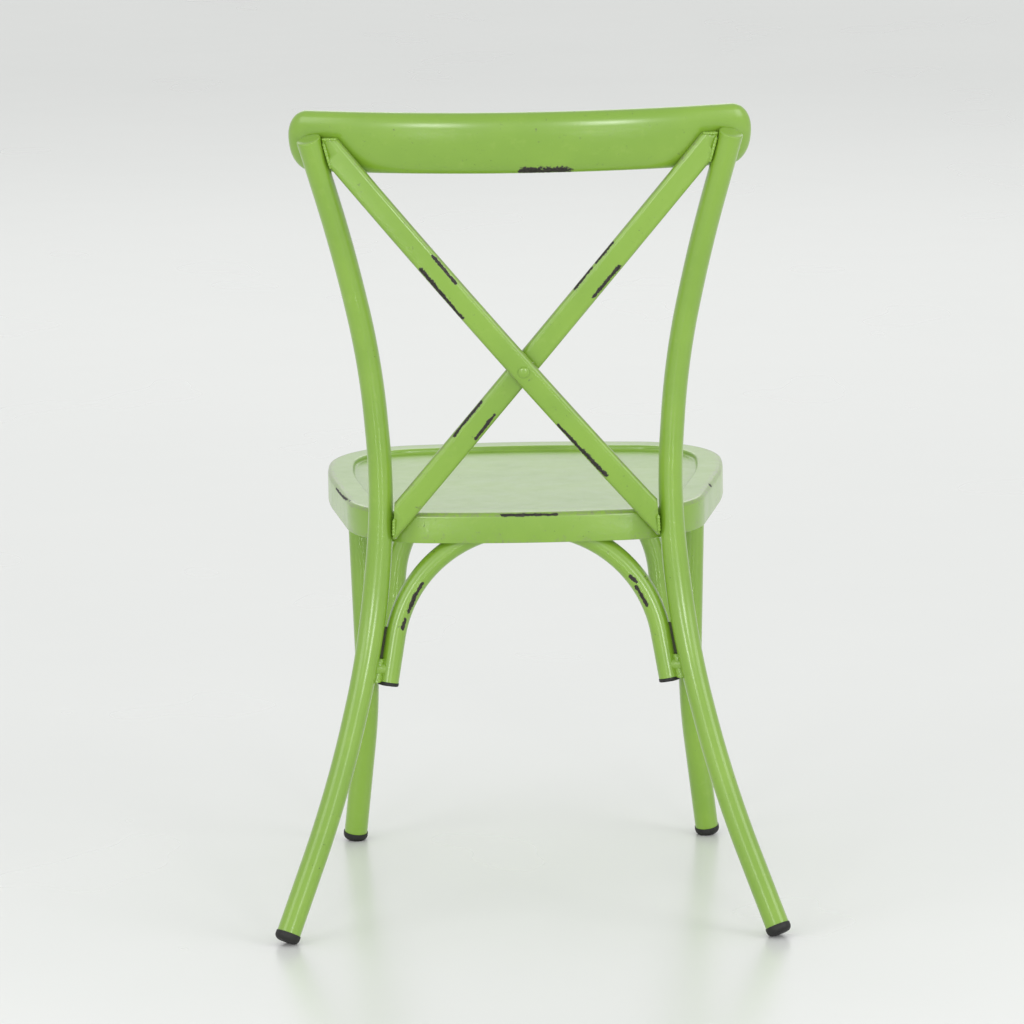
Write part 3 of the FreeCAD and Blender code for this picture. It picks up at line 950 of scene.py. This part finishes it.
def weld_bar_side(name, bar, path, z_low, z_high, seed):
    """A bead down the side of a post, where a bar's end meets it."""
    surface = surface_of(bar)
    rearward = bar_line(REAR_BAR_BOW)[1]
    points = []
    for step in range(41):
        z = z_low + (z_high - z_low) * step / 40
        centre, direction = post_at(z, path)
        outward = direction.cross(rearward).normalized()
        if outward.x * centre.x < 0:
            outward = -outward
        start = centre - outward * (LEG_RADIUS + BAR_POST_GAP + 0.0006) + rearward * 0.05
        hit = surface.ray_cast(start, -rearward, 0.08)[0]
        if hit:
            points.append(hit)
    return bead(name, longest_run(points, 0.008), 0.0017, seed)


def weld_bar_top(name, bar, side, seed):
    """A bead along a bar's cut top, on the rail's rear face."""
    surface = surface_of(bar)
    top = max(v.co.z for v in bar.data.vertices)
    points = []
    for step in range(61):
        start = Vector((side * (0.17 + 0.04 * step / 60), 0.3, top - 0.0006))
        hit = surface.ray_cast(start, -Y_AXIS, 0.2)[0]
        if hit:
            points.append(hit)
    return bead(name, points, 0.0016, seed)


# ---- assembly ----
def build_chair():
    rear_left = leg_path(REAR_LEG)
    rear_right = mirrored(rear_left)
    front_left = leg_path(FRONT_LEG, FRONT_LEG_BEND)
    seat_pan()
    rail = top_rail()
    rail_end("rail_end_left_mesh", 1, "rail_end_cap_left")
    rail_end("rail_end_right_mesh", -1, "rail_end_cap_right")
    for side, flip in (("left", False), ("right", True)):
        leg("rear_tube_" + side, rear_left, REAR_LEG, "rear_leg_" + side, flip, squeeze)
        leg("front_tube_" + side, front_left, FRONT_LEG, "front_leg_" + side, flip, None)
        foot_cap("rear_cup_" + side, REAR_LEG, "rear_foot_cap_" + side, flip)
        foot_cap("front_cup_" + side, FRONT_LEG, "front_foot_cap_" + side, flip)
        post_disc("post_lid_" + side, rear_left, "post_end_disc_" + side, flip)
        spacer("hoop_weld_" + side, "rear_hoop_spacer_" + side, flip)
        leg_plate("plate_" + side, "front_leg_plate_" + side)

    rear_hoop_path = hoop_path(REAR_HOOP_END, REAR_HOOP_CORNER, REAR_HOOP_BEND)
    front_hoop_path = hoop_path(FRONT_HOOP_END, FRONT_HOOP_CORNER, FRONT_HOOP_BEND)
    hoop_marks = [
        ((0.1105, 0.136, 0.362), (0.117, 0.138, 0.350), 0.0028),
        ((0.117, 0.138, 0.350), (0.124, 0.140, 0.333), 0.0044),
        ((0.129, 0.141, 0.324), (0.132, 0.142, 0.315), 0.0034),
        ((-0.109, 0.135, 0.366), (-0.115, 0.136, 0.360), 0.0034),
        ((-0.115, 0.137, 0.354), (-0.125, 0.140, 0.336), 0.0038),
    ]
    hoop("rear_hoop_tube", rear_hoop_path, "rear_hoop", hoop_marks)
    hoop("front_hoop_tube", front_hoop_path, "front_hoop", [])
    for hoop_name, path in (("rear", rear_hoop_path), ("front", front_hoop_path)):
        hoop_plug(hoop_name + "_plug_mesh_left", path, hoop_name + "_hoop_plug_left", False)
        hoop_plug(hoop_name + "_plug_mesh_right", path, hoop_name + "_hoop_plug_right", True)

    posts = (rear_left, rear_right)
    rear_marks = [
        ((0.106, 0.194, 0.704), (0.088, 0.192, 0.679), 0.0042),
        ((0.088, 0.192, 0.679), (0.066, 0.189, 0.652), 0.0036),
        ((0.091, 0.197, 0.722), (0.068, 0.194, 0.692), 0.0026),
        ((-0.033, 0.171, 0.533), (-0.058, 0.168, 0.505), 0.0036),
        ((-0.058, 0.168, 0.505), (-0.083, 0.164, 0.476), 0.0046),
    ]
    front_marks = [
        ((-0.086, 0.182, 0.736), (-0.070, 0.180, 0.714), 0.0034),
        ((-0.066, 0.179, 0.708), (-0.051, 0.176, 0.684), 0.0032),
        ((-0.101, 0.179, 0.704), (-0.074, 0.176, 0.672), 0.0034),
        ((0.050, 0.164, 0.564), (0.064, 0.162, 0.544), 0.0036),
        ((0.066, 0.161, 0.542), (0.077, 0.160, 0.526), 0.0030),
        ((0.031, 0.162, 0.546), (0.051, 0.160, 0.520), 0.0030),
    ]
    rear_bar = cross_bar("rear_bar", REAR_BAR_BOW, "back_bar_rear", False, posts, rear_marks)
    front_bar = cross_bar("front_bar", FRONT_BAR_BOW, "back_bar_front", True, posts, front_marks)
    crossing_rivet()
    brace("upper_brace", "cross_brace_upper", False)
    brace("lower_brace", "cross_brace_lower", True)

    rail_surface = surface_of(rail)
    for side, path in (("left", rear_left), ("right", rear_right)):
        weld_round("weld_post_rail_" + side, path, 0.775, rail_surface, 0.0015, 3)
        sign = 1 if side == "left" else -1
        upper = rear_bar if sign > 0 else front_bar
        lower = front_bar if sign > 0 else rear_bar
        weld_bar_side("weld_bar_top_side_" + side, upper, path, 0.806, 0.844, 5)
        weld_bar_top("weld_bar_top_" + side, upper, sign, 7)
        weld_bar_side("weld_bar_low_side_" + side, lower, path, 0.412, 0.434, 9)
        hoop_line = [p for p in rear_hoop_path if p.x * sign > 0.1]
        weld_web("weld_web_" + side, hoop_line, path, 0.2590, 0.2835, 0.0110, PLAIN_PAINT)
        # A dark strip fills the narrow gap between the hoop's end and the leg, above the green weld.
        weld_web("dark_gap_strip_" + side, hoop_line, path, 0.2835, 0.3160, 0.0018, DARK_GAP_FILL)


def make_camera():
    """Behind the chair and a little above it."""
    camera = bpy.data.objects.new("camera", bpy.data.cameras.new("camera"))
    bpy.context.scene.collection.objects.link(camera)
    across = math.cos(CAMERA_PITCH)
    down = math.sin(CAMERA_PITCH)
    forward = Vector((math.sin(CAMERA_YAW) * across, -math.cos(CAMERA_YAW) * across, -down))
    level = forward.cross(Z_AXIS).normalized()
    above = level.cross(forward)
    right = level * math.cos(CAMERA_ROLL) + above * math.sin(CAMERA_ROLL)
    up = above * math.cos(CAMERA_ROLL) - level * math.sin(CAMERA_ROLL)
    turn = Matrix((right, up, -forward)).transposed()
    camera.matrix_world = Matrix.Translation(lift(CAMERA_PLACE)) @ turn.to_4x4()
    camera.data.sensor_width = SENSOR_WIDTH
    camera.data.lens = LENS
    camera.data.clip_end = 100
    camera.data.dof.use_dof = False
    bpy.context.scene.camera = camera


def area_light(name, place, target, size, power):
    light = bpy.data.lights.new(name, "AREA")
    light.shape = "RECTANGLE"
    light.size, light.size_y = size
    light.energy = power
    lamp = bpy.data.objects.new(name, light)
    lamp.location = place
    lamp.visible_camera = False
    lamp.rotation_mode = "QUATERNION"
    lamp.rotation_quaternion = (Vector(target) - Vector(place)).to_track_quat("-Z", "Y")
    bpy.context.scene.collection.objects.link(lamp)


def studio():
    bpy.ops.mesh.primitive_grid_add(x_subdivisions=8, y_subdivisions=8, size=60)
    ground = bpy.context.object
    ground.name = "floor"
    ground.data.materials.append(floor_material())
    world = bpy.data.worlds.new("studio")
    world.use_nodes = True
    sky = world.node_tree.nodes["Background"]
    sky.inputs["Color"].default_value = (0.93, 0.94, 0.93, 1)
    sky.inputs["Strength"].default_value = 0.86
    bpy.context.scene.world = world
    area_light("window_left", (1.9, 6.2, 1.3), (0, 0, 0.6), (1.0, 1.1), 50)
    area_light("window_right", (-1.9, 6.2, 1.3), (0, 0, 0.6), (1.0, 1.1), 58)
    area_light("side_left", (4.2, 3.4, 2.6), (0, 0, 0.5), (2.6, 2.8), 46)
    area_light("side_right", (-4.4, 2.6, 2.4), (0, 0, 0.5), (2.6, 2.8), 54)
    area_light("front_fill", (0, -4.5, 3.0), (0, 0, 0.5), (4.0, 2.0), 34)


build_chair()
make_camera()
studio()
bpy.context.scene.view_settings.view_transform = "Standard"
